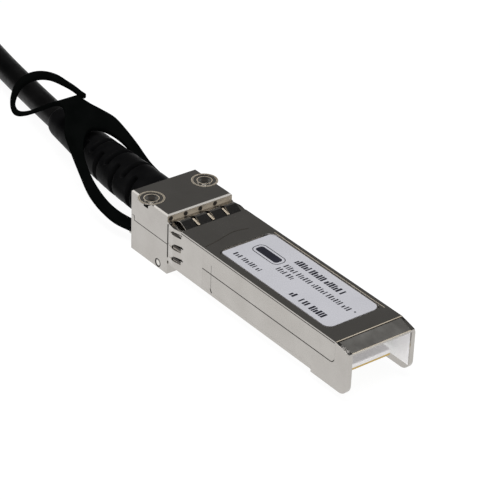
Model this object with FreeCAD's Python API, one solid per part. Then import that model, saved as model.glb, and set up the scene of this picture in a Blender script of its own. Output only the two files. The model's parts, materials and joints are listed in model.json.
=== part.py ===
"""Direct attach copper cable: two pluggable transceiver shells joined by a round twin-axial cord.

Each plug is drawn in its own frame: +X to the nose, x = 0 at the face that stops against the cage,
z = 0 under the part of the body that enters the cage, y = 0 on the plane of symmetry.  All in mm.
"""
import FreeCAD, Part
import math
import os

V = FreeCAD.Vector

# ---------------------------------------------------------------- driving dimensions: metal shells
body_width = 13.4
body_height = 8.5
nose_reach = 47.5
side_wall = 0.95
skirt_wall = 0.75
cover_roof = 0.9
tray_floor = 1.0
tray_chamfer = 1.1
chamfer_end = nose_reach - 8.9
seam_height = 4.5
seam_gap = 0.08
cover_end = nose_reach - 3.35
cover_corner = 1.0
card_mouth = nose_reach - 10.4
nose_height = 7.85
nose_roof = 0.5
nose_corner = 2.0
nose_bevel = 2.4

head_length = 10.5
head_width = body_width
head_top = 9.77
head_drop = 1.62
head_seam = 4.2
head_edge = 0.25
rear_wall = 1.2
rear_lip_height = 0.9
rear_lip_depth = 0.9

# ---------------------------------------------------------------- cage spring collar
sheet = 0.15
collar_start = 0.4
collar_end = 9.9
collar_bow = 0.95
finger_root = 3.9
finger_crest = 0.80
side_crest = 0.28
top_fingers = 4
top_finger_pitch = 3.05
top_finger_width = 2.3
side_slots = (2.35, 4.6, 7.3)
side_slot_width = 0.6
side_slot_start = 1.3

# ---------------------------------------------------------------- label and screws
label_start = 12.56
label_end = nose_reach - 7.3
label_width = 10.2
label_corner = 1.5
label_sheet = 0.1
recess_margin = 0.75
recess_depth = 0.3
screw_back = 6.3
screw_edge = 1.15
screw_rim = 2.25
screw_cone = 2.05
screw_bore = 1.32
screw_head = 1.22
screw_head_height = 1.1
screw_head_sink = 0.33
screw_socket = 0.55
screw_shank = 0.8
screw_shank_end = 2.9
rim_bevel = 0.2

# ---------------------------------------------------------------- card and inner wiring
card_start = 13.0
card_end = nose_reach - 3.2
card_width = 9.2
card_bottom = 2.1
card_sheet = 1.0
card_clearance = 0.05
pad_count = 10
pad_pitch = 0.8
pad_width = 0.5
pad_length = 2.6
pad_sheet = 0.05
chip_size = (4.0, 4.4, 0.9)
chip_start = 20.0
capacitor_size = (1.0, 0.5, 0.5)
capacitor_start = 31.0
pair_width = 2.6
pair_height = 1.5
pair_offset_rear = 1.35
pair_offset_card = 2.2
solder_length = 2.4
shroud_length = 5.0
shroud_width = card_width + 0.2
shroud_gap = 0.2

# ---------------------------------------------------------------- cord, strain relief, ferrule
cord_radius = 2.4
cord_sides = 12
bore_squeeze = 0.05
cord_centre = 5.0
cord_start = -5.2
ferrule_length = 2.9
ferrule_wall = 0.6
bay_clearance = 0.05
bay_end = -4.2
bay_half_width = 3.9
neck_radius = 3.1
flange_radius = 3.5
flange_length = 1.2
boot_profile = ((0.0, 4.05), (6.0, 4.1), (13.0, 4.0), (19.0, 3.75), (25.0, 3.45), (31.0, 3.15), (35.6, 2.98))
boot_tip = 1.2
boot_tip_radius = 2.62
boot_slot_first = 5.2
boot_slot_pitch = 2.75
boot_slot_count = 8
boot_slot_width = 1.1
boot_slot_floor = 2.75
boot_sides = 16
boot_side_slot_half_angle = 58.0
boot_top_slot_half_angle = 56.0

# ---------------------------------------------------------------- latch
latch_travel = 2.2
lever_angle = 7.0
pivot_x = -2.63
pivot_z = -0.7
pin_radius = 0.45
pin_clearance = 0.05
pin_head_radius = 0.75
pin_head_depth = 0.35
lever_half_width = 2.9
lever_hub = 0.85
lever_reach = 5.1
lever_arm = (0.1, 0.75)
lever_tail_bottom = -0.85
lever_tail_top = 0.2
lever_tail_end = -8.2
boss_shoulder = 2.5
boss_depth = 0.45
boss_half_width = 1.3
pocket_half_width = 3.15
pocket_height = 2.1
pocket_end = 6.2
pocket_start = -3.4
channel_half_width = 5.95
channel_roof = 0.95
channel_front_wall = 1.2
slider_bottom = 0.25
slider_sheet = 0.55
rail_inner = 3.75
rail_outer = 5.85
rail_front = -1.6
tongue_reach = 12.3
bridge = (-5.8, -4.3)
spring_tab = (-3.9, -3.4)
spring_tab_drop = 1.55
spring_half_width = 0.85
spring_sheet = 0.2
spring_folds = 5
lever_spring_sheet = 0.15

# ---------------------------------------------------------------- pull tab
tab_sheet = 0.9
tab_front = -10.9
tab_stud = (-11.7, 4.9, 0.6)
tab_stud_height = 0.9
# height of the middle of the sheet along the tab: flat arms, rise over the cord, crest, dip, ring end
tab_rise = ((-52.6, 12.9), (-51.0, 11.4), (-49.3, 9.9), (-46.65, 8.95), (-44.0, 9.7), (-41.5, 11.5),
            (-39.6, 12.2), (-37.7, 12.1), (-35.0, 10.98), (-32.0, 9.45), (-28.0, 6.89), (-24.0, 4.15),
            (-20.0, 2.71), (-16.0, 1.95), (-10.5, 1.25))
tab_outline = ((-10.9, 6.1), (-14.5, 7.4), (-18.2, 7.65), (-21.8, 7.5), (-25.0, 7.0), (-28.3, 6.5),
               (-31.0, 5.95), (-33.2, 5.3), (-35.2, 4.0), (-37.2, 2.65), (-39.2, 2.15), (-40.8, 2.5), (-42.0, 3.5))
tab_window = ((-10.9, 3.8), (-13.2, 4.3), (-16.2, 5.1), (-19.5, 5.35), (-24.0, 5.1), (-26.2, 4.85),
              (-28.2, 4.35), (-30.2, 3.3), (-31.8, 1.7))
tab_window_end = -32.5
ring_centre = -46.65
ring_half_length = 5.6
ring_half_width = 7.35
ring_strand = 0.95
tab_facets = 18
tab_edge_facets = 12

# ---------------------------------------------------------------- whole cable
cord_length = 5000.0
coil_columns = 4
coil_rows = 7
coil_pitch = 4.85
coil_mean_radius = 28.0
coil_centre = (-121.0, -16.0)
coil_edge = 3.5
coil_sides = 36
tie_width = 12.0
tie_sheet = 1.0
tie_angles = (108.0, 252.0)
far_plug_place = (-51.0, -56.4)
far_plug_turn = 2.0

stop_x = (ring_half_length - ring_centre - nose_reach) / 2
half_width = body_width / 2
screw_offset = head_width / 2 - screw_edge
card_top = card_bottom + card_sheet

# Cord route.  The first points lie in the plug's frame and are the same at both ends.
exit_route = ((cord_start, 0.0, cord_centre), (-21.0, 0.0, cord_centre), (-40.0, 1.9, 4.55), (-60.0, 5.2, 3.4))
# The rest lie in the frame of the whole part, from each plug to the coil.
near_route = ((-82.0, 10.6, 2.9), (-101.5, 15.5, 2.4), (-121.0, 19.3, 2.4))
# The far end leaves the coil's outer side, one row above the near end.
far_route = ((-121.0, -51.3, 7.25),)


# ---------------------------------------------------------------- small helpers
def box(x, y, z):
    return Part.makeBox(x[1] - x[0], y[1] - y[0], z[1] - z[0], V(x[0], y[0], z[0]))


def face_of(points):
    return Part.Face(Part.makePolygon([*points, points[0]]))


def prism_x(outline, start, end):
    return face_of([V(start, y, z) for y, z in outline]).extrude(V(end - start, 0, 0))


def prism_y(outline, start, end):
    return face_of([V(x, start, z) for x, z in outline]).extrude(V(0, end - start, 0))


def prism_z(outline, start, end):
    return face_of([V(x, y, start) for x, y in outline]).extrude(V(0, 0, end - start))


def shaft(radius, start, end):
    """A true cylinder, for what turns."""
    start = V(*start)
    axis = V(*end) - start
    return Part.makeCylinder(radius, axis.Length, start, axis)


def ring_points(centre, heading, radius, sides):
    """Corners of a regular polygon square to a heading."""
    reference = V(0, 0, 1) if abs(heading.z) < 0.9 * heading.Length else V(1, 0, 0)
    across = heading.cross(reference)
    across.normalize()
    up = across.cross(heading)
    up.normalize()
    angles = [2 * math.pi * i / sides for i in range(sides)]
    return [centre + across * (radius * math.cos(a)) + up * (radius * math.sin(a)) for a in angles]


def skin_over(rings, flat=True):
    """Solid over a row of rings of corners: quads where they are flat, else triangles."""
    faces = [face_of(rings[0]), face_of(rings[-1])]
    for low, high in zip(rings, rings[1:]):
        for i in range(len(low)):
            j = (i + 1) % len(low)
            if flat:
                faces.append(face_of([low[i], low[j], high[j], high[i]]))
            else:
                faces.append(face_of([low[i], low[j], high[j]]))
                faces.append(face_of([low[i], high[j], high[i]]))
    solid = Part.Solid(Part.Shell(faces))
    return solid if solid.Volume > 0 else solid.reversed()


def rod(radius, start, end, tip_radius=None, sides=12):
    """A round bar or cone as a many-sided prism, which keeps small round details light."""
    start = V(*start)
    end = V(*end)
    tip = radius if tip_radius is None else tip_radius
    heading = end - start
    return skin_over([ring_points(start, heading, radius, sides), ring_points(end, heading, tip, sides)])


def flip(shape):
    """The same piece on the other side of the plane of symmetry."""
    return shape.mirror(V(0, 0, 0), V(0, 1, 0))


def pair_of(shape):
    return [shape, flip(shape)]


def join(shapes):
    """One solid out of pieces that touch or overlap."""
    return shapes[0].multiFuse(shapes[1:]).removeSplitter()


def group(shapes):
    """Separate solids in one node."""
    return Part.makeCompound(shapes)


def smooth_line(points, count):
    """Evenly spaced points on a smooth curve through a few chosen ones."""
    curve = Part.BSplineCurve()
    curve.interpolate([V(*p) for p in points])
    return curve.toShape().discretize(count)


def rounded_rectangle(x, half, corner, steps=4):
    """Outline with round corners, as (x, y) points."""
    outline = []
    centres = ((x[1] - corner, half - corner), (x[0] + corner, half - corner),
               (x[0] + corner, corner - half), (x[1] - corner, corner - half))
    for quarter, (cx, cy) in enumerate(centres):
        for i in range(steps + 1):
            angle = math.pi / 2 * (quarter + i / steps)
            outline.append((cx + corner * math.cos(angle), cy + corner * math.sin(angle)))
    return outline


def rounded_route(points):
    """Straight runs joined by tangent arcs; prints the radii."""
    points = [V(*p) for p in points]
    edges = []
    radii = []
    reached = points[0]
    for before, corner, after in zip(points, points[1:], points[2:]):
        back = before - corner
        ahead = after - corner
        half_turn = (math.pi - back.getAngle(ahead)) / 2
        trim = 0.45 * min(back.Length, ahead.Length)
        radii.append(trim / math.tan(half_turn))
        back.normalize()
        ahead.normalize()
        inward = back + ahead
        inward.normalize()
        start = corner + back * trim
        end = corner + ahead * trim
        sagitta = radii[-1] * (1 / math.cos(half_turn) - 1)
        edges.append(Part.LineSegment(reached, start).toShape())
        edges.append(Part.Arc(start, corner + inward * sagitta, end).toShape())
        reached = end
    edges.append(Part.LineSegment(reached, points[-1]).toShape())
    print("cord radii", [round(r) for r in radii])
    return edges


def round_tube(edges, radius):
    start = edges[0].valueAt(edges[0].FirstParameter)
    heading = edges[0].tangentAt(edges[0].FirstParameter)
    section = face_of(ring_points(start, heading, radius, cord_sides))
    tube = Part.Wire(edges).makePipe(section)
    length = sum(edge.Length for edge in edges)
    print("tube volume over section times length", round(tube.Volume / (section.Area * length), 4))
    return tube


def along(edges, distance):
    """Point and heading at a distance along a chain of edges."""
    for edge in edges:
        if distance <= edge.Length or edge is edges[-1]:
            at = edge.getParameterByLength(distance)
            return edge.valueAt(at), edge.tangentAt(at)
        distance -= edge.Length


# ---------------------------------------------------------------- metal shells
def body_section(inset, bottom, top, chamfer):
    """Cross-section of the part that enters the cage, with its lower corners cut off."""
    half = half_width - inset
    return [(-half, bottom + chamfer), (-half + chamfer, bottom), (half - chamfer, bottom),
            (half, bottom + chamfer), (half, top), (-half, top)]


def collar_zone():
    """The band of the body that the spring collar wraps, with its bowed front edge on top."""
    reach = half_width + 1
    rise = body_height - recess_depth
    band = box((collar_start, collar_end), (-reach, reach), (-1, body_height + 1))
    bow_radius = (half_width**2 + collar_bow**2) / (2 * collar_bow)
    centre = collar_end - collar_bow + bow_radius
    bow = shaft(bow_radius, (centre, 0, rise), (centre, 0, body_height + 1))
    core = prism_x(body_section(sheet, sheet, body_height - sheet, tray_chamfer), 0, collar_end + 1)
    return band.cut(bow).cut(core)


def nose_outline():
    """Side view of the nose, from the cover's end round to the opening underneath."""
    slope = 0.25 * nose_bevel
    corner = nose_corner * (1 - math.sqrt(0.5))
    front = nose_reach
    start = V(cover_end, 0, body_height)
    top = [start, V(front - nose_bevel, 0, body_height), V(front - slope, 0, nose_height + slope / 2)]
    edges = [Part.LineSegment(top[0], top[1]).toShape(),
             Part.Arc(top[1], V(front - nose_bevel / 2, 0, body_height - 0.12), top[2]).toShape(),
             Part.LineSegment(top[2], V(front, 0, nose_height - slope)).toShape(),
             Part.LineSegment(V(front, 0, nose_height - slope), V(front, 0, nose_corner)).toShape(),
             Part.Arc(V(front, 0, nose_corner), V(front - corner, 0, corner),
                      V(front - nose_corner, 0, 0)).toShape(),
             Part.LineSegment(V(front - nose_corner, 0, 0), V(chamfer_end, 0, 0)).toShape(),
             Part.LineSegment(V(chamfer_end, 0, 0), V(chamfer_end, 0, seam_height)).toShape()]
    return edges + cover_foot(chamfer_end, 0) + [
        Part.LineSegment(V(cover_end, 0, seam_height + cover_corner), start).toShape()]


def cover_foot(start_x, lift):
    """Lower edge of the cover's flange, curling up at its front end."""
    low = seam_height + lift
    turn = V(cover_end - cover_corner, 0, low)
    end = V(cover_end, 0, low + cover_corner)
    middle = V(cover_end - cover_corner * (1 - math.sqrt(0.5)), 0, low + cover_corner * (1 - math.sqrt(0.5)))
    return [Part.LineSegment(V(start_x, 0, low), turn).toShape(), Part.Arc(turn, middle, end).toShape()]


def side_profile(edges):
    """A solid as wide as the body from its outline in side view."""
    face = Part.Face(Part.Wire(edges))
    face.translate(V(0, -half_width, 0))
    return face.extrude(V(0, body_width, 0))


def cord_bay():
    """Room in the head for the ferrule, the strain relief's flange and the wires."""
    bay_radius = neck_radius + bay_clearance
    rear = -head_length + rear_wall
    return [rod(bay_radius, (-head_length - 1, 0, cord_centre), (bay_end, 0, cord_centre), sides=boot_sides),
            rod(flange_radius + bay_clearance, (rear, 0, cord_centre),
                (rear + flange_length + bay_clearance, 0, cord_centre), sides=boot_sides)]


def label_recess():
    margin = recess_margin
    half = label_width / 2 + margin
    outline = rounded_rectangle((label_start - margin / 2, label_end + margin), half, label_corner + margin / 2)
    return prism_z(outline, body_height - recess_depth, body_height + 1)


def lower_shell():
    head_half = head_width / 2
    rear = -head_length
    tray = prism_x(body_section(0, 0, seam_height, tray_chamfer), 0, chamfer_end)
    head = box((rear, 0), (-head_half, head_half), (-head_drop, head_seam))
    lip = box((rear, rear + rear_lip_depth), (-head_half, head_half), (head_seam, head_seam + rear_lip_height))
    cheeks = side_profile(nose_outline())
    skin = join([head, lip, tray, cheeks])
    card_half = card_width / 2 + card_clearance
    ledge_half = card_width / 2 - side_wall + 0.25
    inner = half_width - side_wall
    steps = [(-ledge_half, tray_floor), (ledge_half, tray_floor), (ledge_half, card_bottom),
             (card_half, card_bottom), (card_half, card_top), (inner, card_top),
             (inner, body_height), (-inner, body_height), (-inner, card_top), (-card_half, card_top),
             (-card_half, card_bottom), (-ledge_half, card_bottom)]
    floor_end = pocket_end + 0.7
    room = half_width - skirt_wall
    over_pocket = pocket_height + 0.5
    hollows = [prism_x(steps, floor_end, cover_end - 0.6),
               box((bay_end, floor_end), (-bay_half_width, bay_half_width), (over_pocket, body_height)),
               box((card_mouth, nose_reach + 1), (-room, room), (-1, body_height - nose_roof)),
               box((pocket_start, pocket_end), (-pocket_half_width, pocket_half_width), (0, pocket_height)),
               box((rear + 1, -channel_front_wall), (-channel_half_width, channel_half_width),
                   (-head_drop - 1, channel_roof))]
    slot_inner = rail_inner - 0.1
    tongue_slot = box((rear - 1, rear + 1), (slot_inner, channel_half_width), (slider_bottom - 0.1, channel_roof))
    hollows += pair_of(tongue_slot) + cord_bay()
    hollows.append(shaft(pin_radius, (pivot_x, -head_half, pivot_z), (pivot_x, head_half, pivot_z)))
    pin_seat = rod(pin_head_radius, (pivot_x, head_half - pin_head_depth, pivot_z),
                   (pivot_x, head_half + 1, pivot_z))
    hollows += pair_of(pin_seat)
    screw_hole = rod(screw_shank, (-screw_back, screw_offset, screw_shank_end),
                     (-screw_back, screw_offset, head_seam + 1))
    hollows += pair_of(screw_hole)
    hollows.append(collar_zone())
    return skin.cut(hollows).removeSplitter()


def upper_shell():
    head_half = head_width / 2
    rear = -head_length
    lift = seam_gap
    top = body_height
    flange_front = seam_height + lift + cover_corner
    outline = cover_foot(0, lift) + [
        Part.LineSegment(V(cover_end, 0, flange_front), V(cover_end, 0, top)).toShape(),
        Part.LineSegment(V(cover_end, 0, top), V(0, 0, top)).toShape(),
        Part.LineSegment(V(0, 0, top), V(0, 0, seam_height + lift)).toShape()]
    cover = side_profile(outline)
    head = box((rear, 0), (-head_half, head_half), (head_seam + lift, head_top))
    rim = [e for e in head.Edges if e.BoundBox.ZMin > head_top - 0.01]
    head = head.makeChamfer(head_edge, rim)
    skin = join([head, cover])
    inner = half_width - side_wall
    lip = box((rear - 1, rear + rear_lip_depth + lift), (-head_half - 1, head_half + 1),
              (head_seam, head_seam + rear_lip_height + lift))
    mouth = box((cover_end - 0.6, cover_end + 1), (-inner, inner), (0, top - nose_roof - 0.4))
    hollows = [lip, mouth, label_recess(), collar_zone(),
               box((0, cover_end - 0.6), (-inner, inner), (0, top - cover_roof)),
               box((bay_end, 1), (-bay_half_width, bay_half_width), (0, top - cover_roof))]
    hollows += cord_bay()
    sink = head_top - screw_head_sink
    seat = sink - screw_head_height
    cone_top = head_top - rim_bevel
    cone_foot = cone_top - (screw_cone - screw_bore)
    centre = (-screw_back, screw_offset)
    bore = join([rod(screw_cone, (*centre, cone_top), (*centre, head_top), screw_rim),
                 rod(screw_bore, (*centre, cone_foot), (*centre, cone_top), screw_cone),
                 rod(screw_bore, (*centre, seat), (*centre, cone_foot)),
                 rod(screw_shank, (*centre, 0), (*centre, seat))])
    hollows += pair_of(bore)
    foot = rod(1.1, (*centre, head_seam), (*centre, head_seam + lift))
    foot = foot.cut(rod(screw_shank, (*centre, 0), (*centre, seat)))
    return join([skin.cut(hollows)] + pair_of(foot))


def cover_screw(side):
    centre = (-screw_back, side * screw_offset)
    top = head_top - screw_head_sink
    seat = top - screw_head_height
    head = rod(screw_head, (*centre, seat), (*centre, top))
    shank = rod(screw_shank, (*centre, screw_shank_end), (*centre, seat))
    corners = [math.radians(60 * i) for i in range(6)]
    hexagon = [(centre[0] + screw_socket * math.cos(a), centre[1] + screw_socket * math.sin(a)) for a in corners]
    return join([head, shank]).cut(prism_z(hexagon, top - 0.6, top + 1))


# ---------------------------------------------------------------- spring collar and label
def bent_strip(rise):
    """Side view of one contact finger: rises from the band, crests and comes back to the body."""
    span = finger_root - collar_start
    over = [(collar_start, sheet), (collar_start + 0.42 * span, rise + sheet),
            (collar_start + 0.56 * span, rise + sheet), (finger_root, sheet)]
    under = [(x, h - sheet) for x, h in reversed(over)]
    return over + under


def emi_collar():
    half = half_width - sheet
    outer = prism_x(body_section(0, 0, body_height, tray_chamfer), collar_start, collar_end + 1)
    band = outer.common(collar_zone())
    top = body_height - sheet
    zone = (collar_start - 1, finger_root)
    cuts = [box(zone, (-half_width - 1, half_width + 1), (top, top + 2)),
            box((zone[0], pocket_end + 0.3), (-pocket_half_width - 0.3, pocket_half_width + 0.3), (-1, tray_floor))]
    for z in side_slots:
        cuts.append(box((side_slot_start, finger_root), (-half_width - 1, half_width + 1),
                        (z - side_slot_width / 2, z + side_slot_width / 2)))
    pieces = [band.cut(cuts)]
    profile = bent_strip(finger_crest)
    first = -top_finger_pitch * (top_fingers - 1) / 2
    for i in range(top_fingers):
        y = first + i * top_finger_pitch
        half_finger = top_finger_width / 2
        pieces.append(prism_y([(x, top + h) for x, h in profile], y - half_finger, y + half_finger))
    edges = [tray_chamfer + sheet, *side_slots, body_height - sheet]
    profile = bent_strip(side_crest)
    for low, high in zip(edges, edges[1:]):
        gap = side_slot_width / 2
        low = low + (gap if low in side_slots else 0)
        high = high - (gap if high in side_slots else 0)
        pieces += pair_of(prism_z([(x, half + h) for x, h in profile], low, high))
    return join(pieces)


def label():
    floor = body_height - recess_depth
    outline = rounded_rectangle((label_start, label_end), label_width / 2, label_corner)
    return prism_z(outline, floor, floor + label_sheet)


# ---------------------------------------------------------------- card and wiring
def paddle_card():
    half = card_width / 2
    bevel = 0.3
    outline = [(card_start, card_bottom), (card_end - bevel, card_bottom), (card_end, card_bottom + bevel),
               (card_end, card_top - bevel), (card_end - bevel, card_top), (card_start, card_top)]
    return prism_y(outline, -half, half)


def card_contacts():
    pads = []
    end = card_end - 0.4
    first = -pad_pitch * (pad_count - 1) / 2
    for i in range(pad_count):
        y = first + i * pad_pitch
        span = (y - pad_width / 2, y + pad_width / 2)
        pads.append(box((end - pad_length, end), span, (card_top, card_top + pad_sheet)))
        pads.append(box((end - pad_length, end), span, (card_bottom - pad_sheet, card_bottom)))
    return group(pads)


def eeprom_chip():
    length, width, height = chip_size
    chip = box((chip_start, chip_start + length), (-width / 2, width / 2), (card_top, card_top + height))
    rim = [e for e in chip.Edges if e.BoundBox.ZMin > card_top + height - 0.01]
    return chip.makeChamfer(0.15, rim)


def coupling_capacitors():
    length, width, height = capacitor_size
    parts = []
    for row in (-3, -1, 1, 3):
        y = row * 1.1
        parts.append(box((capacitor_start, capacitor_start + length), (y - width / 2, y + width / 2),
                         (card_top, card_top + height)))
    return group(parts)


def twinax_pair(side):
    """A flat twin cable from the cord's end to the card, sloping down and outwards."""
    half = pair_width / 2
    rear = V(cord_start, side * pair_offset_rear, cord_centre)
    front = V(card_start + solder_length, side * pair_offset_card, card_top + pair_height / 2)
    oval = rounded_rectangle((-pair_height / 2, pair_height / 2), half, pair_height / 2, 3)
    section = face_of([V(rear.x, rear.y + y, rear.z + z) for z, y in oval])
    return section.extrude(front - rear)


def solder_shroud():
    """Moulded block that grips both pairs where their wires are soldered to the card."""
    length, width = shroud_length, shroud_width
    height = body_height - cover_roof - shroud_gap - card_top
    start = card_start + solder_length - length + 1.2
    block = box((start, start + length), (-width / 2, width / 2), (card_top, card_top + height))
    front = [e for e in block.Edges if e.BoundBox.ZMin > card_top + height - 0.01]
    return block.makeChamfer(0.4, front).cut([twinax_pair(1), twinax_pair(-1)])


# ---------------------------------------------------------------- cord end
def crimp_ferrule():
    start = cord_start - ferrule_length
    outer = rod(cord_radius + ferrule_wall, (start, 0, cord_centre), (cord_start, 0, cord_centre))
    bore = rod(cord_radius, (start - 1, 0, cord_centre), (cord_start + 1, 0, cord_centre), sides=cord_sides)
    return outer.cut(bore)


def slot_cutter(point, heading, turn, half_angle, steps=3):
    """A wedge of a ring round the cord: flat sides, its floor in a few flats."""
    across = heading.cross(V(0, 0, 1))
    across.normalize()
    up = across.cross(heading)

    def corner(radius, angle):
        angle = math.radians(angle)
        return point + across * (radius * math.cos(angle)) + up * (radius * math.sin(angle))

    angles = [turn - half_angle + 2 * half_angle * i / steps for i in range(steps + 1)]
    reach = boot_profile[0][1] + 3
    outline = [corner(boot_slot_floor, a) for a in angles] + [corner(reach, a) for a in reversed(angles)]
    wedge = face_of(outline)
    wedge.translate(heading * (-boot_slot_width / 2))
    return wedge.extrude(heading * boot_slot_width)


def strain_relief_boot(cord_edges):
    """Soft sleeve that bends with the cord: slots on alternate sides let it flex."""
    rear = -head_length
    to_face = cord_start - rear

    def ring(distance, radius, sides):
        point, heading = along(cord_edges, to_face + distance)
        return ring_points(point, heading, radius, sides)

    length = boot_profile[-1][0] + boot_tip
    outer = [ring(d, r, boot_sides) for d, r in boot_profile] + [ring(length, boot_tip_radius, boot_sides)]
    sleeve = skin_over(outer, flat=False)
    neck = rod(neck_radius, (rear, 0, cord_centre), (rear + rear_wall, 0, cord_centre), sides=boot_sides)
    flange = rod(flange_radius, (rear + rear_wall, 0, cord_centre),
                 (rear + rear_wall + flange_length, 0, cord_centre), sides=boot_sides)
    grip = cord_radius - bore_squeeze
    inside = -rear_wall - flange_length
    stations = [inside - 0.1, length / 3, 2 * length / 3, length + 0.1]
    bore = skin_over([ring(d, grip, cord_sides) for d in stations], flat=False)
    slots = []
    for i in range(boot_slot_count):
        point, heading = along(cord_edges, to_face + boot_slot_first + i * boot_slot_pitch)
        on_side = i % 2 == 0
        half_angle = boot_side_slot_half_angle if on_side else boot_top_slot_half_angle
        for opposite in (0, 180):
            slots.append(slot_cutter(point, heading, opposite + (0 if on_side else 90), half_angle))
    return join([sleeve, neck, flange]).cut([bore] + slots)


# ---------------------------------------------------------------- latch
def latch_slider():
    top = slider_bottom + slider_sheet
    level = (slider_bottom, top)
    rail = box((-tongue_reach, rail_front), (rail_inner, rail_outer), level)
    tab_middle = (rail_inner + rail_outer) / 2
    drop = box(spring_tab, (tab_middle - spring_half_width, tab_middle + spring_half_width),
               (slider_bottom - spring_tab_drop, slider_bottom))
    stud_x, stud_y, stud_radius = tab_stud
    stud = rod(stud_radius, (stud_x, stud_y, top), (stud_x, stud_y, top + tab_stud_height), sides=12)
    cross = box(bridge, (-rail_outer, rail_outer), level)
    return join([cross] + pair_of(rail) + pair_of(drop) + pair_of(stud))


def slider_spring(side):
    """Folded leaf between the head's rear wall and the slider's lug."""
    start = -head_length + 1
    end = spring_tab[0]
    half = spring_sheet * 0.75
    low = slider_bottom - spring_tab_drop + 0.1 + half
    high = slider_bottom - 0.2 - half
    step = (end - start) / spring_folds
    middle = [(start + i * step, low if i % 2 else high) for i in range(spring_folds + 1)]
    outline = [(x, z + half) for x, z in middle] + [(x, z - half) for x, z in reversed(middle)]
    y = side * (rail_inner + rail_outer) / 2
    return prism_y(outline, y - spring_half_width, y + spring_half_width)


def latch_lever():
    low, high = lever_arm
    tail = lever_tail_top
    back = bridge[0] - 0.1
    cam = [(back, tail), (back - 0.9, tail + 0.2), (back - 2.1, tail + 0.6), (lever_tail_end, tail + 0.6)]
    outline = cam + [(lever_tail_end, lever_tail_bottom), (pivot_x - 0.65, lever_tail_bottom),
                     (pivot_x + 0.75, pivot_z + 0.2), (pivot_x + 1.1, low), (lever_reach, low),
                     (lever_reach, high), (pivot_x - 0.25, high), (pivot_x - 0.75, tail)]
    plate = prism_y(outline, -lever_half_width, lever_half_width)
    hub = shaft(lever_hub, (pivot_x, -lever_half_width, pivot_z), (pivot_x, lever_half_width, pivot_z))
    entry = boss_depth + low
    boss = prism_y([(boss_shoulder, low), (boss_shoulder, -boss_depth), (lever_reach - entry, -boss_depth),
                    (lever_reach, low)], -boss_half_width, boss_half_width)
    bore = shaft(pin_radius + pin_clearance, (pivot_x, -half_width, pivot_z), (pivot_x, half_width, pivot_z))
    return join([plate, hub, boss]).cut(bore)


def lever_pin():
    half = head_width / 2
    stem = shaft(pin_radius, (pivot_x, -half + 0.05, pivot_z), (pivot_x, half - 0.05, pivot_z))
    head = rod(pin_head_radius, (pivot_x, half - pin_head_depth, pivot_z), (pivot_x, half - 0.05, pivot_z))
    return join([stem] + pair_of(head))


def lever_spring():
    """Bent leaf that keeps the latch boss down."""
    roof = pocket_height
    thick = lever_spring_sheet
    touch = lever_arm[1]
    outline = [(pocket_end, roof), (pocket_end - 1.2, roof), (3.2, touch + thick), (2.6, touch + thick),
               (2.6, touch), (3.3, touch), (pocket_end - 1.1, roof - thick), (pocket_end, roof - thick)]
    return prism_y(outline, -1.0, 1.0)


def tab_plan(points, tip, count, low, high):
    """Upright prism over a half outline and its mirror; a tip rounds off its rear end."""
    half = [(x, y, 0) for x, y in points]
    if tip is not None:
        half.append((tip, 0, 0))
        half += [(x, -y, 0) for x, y in points[::-1]]
    line = [(p.x, p.y) for p in smooth_line(half, count)]
    if tip is None:
        line += [(x, -y) for x, y in reversed(line)]
    return prism_z(line, low, high)


def oval_plan(half_length, half_span, count, low, high):
    angles = [2 * math.pi * i / count for i in range(count)]
    outline = [(ring_centre + half_length * math.cos(a), half_span * math.sin(a)) for a in angles]
    return prism_z(outline, low, high)


def pull_tab():
    """One moulded sheet: two flat arms beside the boot, a web over it and a thin finger ring."""
    half = tab_sheet / 2
    line = [(p.x, p.z) for p in smooth_line([(x, 0, z) for x, z in tab_rise], tab_facets)]
    outline = [(x, z - half) for x, z in line] + [(x, z + half) for x, z in reversed(line)]
    reach = ring_half_width + 1
    below_all = min(z for _, z in line) - 3
    above_all = max(z for _, z in line) + 3
    wavy = prism_y(outline, -reach, reach)
    web = tab_plan(tab_outline, None, tab_edge_facets, below_all, above_all)
    window = tab_plan(tab_window, tab_window_end, 2 * tab_edge_facets, below_all - 1, above_all + 1)
    ring = oval_plan(ring_half_length, ring_half_width, 2 * tab_edge_facets, below_all, above_all)
    hole = oval_plan(ring_half_length - ring_strand, ring_half_width - ring_strand, 2 * tab_edge_facets, below_all - 1, above_all + 1)
    tab = join([web, ring]).cut([window, hole]).common(wavy)
    stud_x, stud_y, stud_radius = tab_stud
    bed = slider_bottom + slider_sheet
    stud = rod(stud_radius, (stud_x, stud_y, bed), (stud_x, stud_y, bed + tab_stud_height), sides=12)
    below = box((tab_front - 3, 0), (-reach, reach), (below_all, bed))
    return tab.cut(pair_of(stud) + [below])


def plug_pieces():
    local = rounded_route(exit_route)
    return {
        "lower_shell": lower_shell(),
        "upper_shell": upper_shell(),
        "emi_collar": emi_collar(),
        "label": label(),
        "cover_screw_left": cover_screw(-1),
        "cover_screw_right": cover_screw(1),
        "paddle_card": paddle_card(),
        "card_contacts": card_contacts(),
        "eeprom_chip": eeprom_chip(),
        "coupling_capacitors": coupling_capacitors(),
        "twinax_pair_left": twinax_pair(-1),
        "twinax_pair_right": twinax_pair(1),
        "solder_shroud": solder_shroud(),
        "crimp_ferrule": crimp_ferrule(),
        "strain_relief_boot": strain_relief_boot(local),
        "latch_slider": latch_slider(),
        "slider_spring_left": slider_spring(-1),
        "slider_spring_right": slider_spring(1),
        "latch_lever": latch_lever(),
        "lever_pin": lever_pin(),
        "lever_spring": lever_spring(),
        "pull_tab": pull_tab(),
    }


# ---------------------------------------------------------------- coil and its ties
def coil_size():
    """Half the bundle's width and its height."""
    half = (coil_columns - 1) * coil_pitch / 2 + cord_radius
    return half, (coil_rows - 1) * coil_pitch + 2 * cord_radius


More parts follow.
